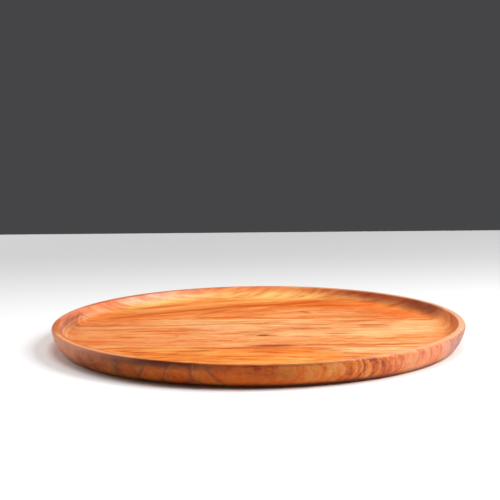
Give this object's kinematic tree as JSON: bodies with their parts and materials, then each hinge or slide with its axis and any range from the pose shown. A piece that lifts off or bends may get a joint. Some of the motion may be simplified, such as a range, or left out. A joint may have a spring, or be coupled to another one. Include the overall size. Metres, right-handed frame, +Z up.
{
  "type": "wooden dinner plate",
  "caption": "Low round wooden dinner plate with a flat floor, a coved inner wall, a narrow flat lip and a bulging outer wall, turned from edge-glued boards.",
  "frame": {"origin": "centre of the plate's underside, on the surface that it stands on", "axes": "+Z up along the plate's turning axis, +X along the grain, +Y towards the back of the plate"},
  "size_m": [0.28, 0.28, 0.016],
  "materials": {
    "front_board_wood": "oiled, satin",
    "middle_board_wood": "oiled, satin",
    "back_board_wood": "oiled, satin",
    "glue": "cured film, dull",
    "knot_wood": "oiled, dull"
  },
  "bodies": {
    "root": {"front_board": "front_board_wood", "middle_board": "middle_board_wood", "back_board": "back_board_wood", "front_glue_line": "glue", "back_glue_line": "glue", "pin_knot": "knot_wood"}
  },
  "joints": []
}
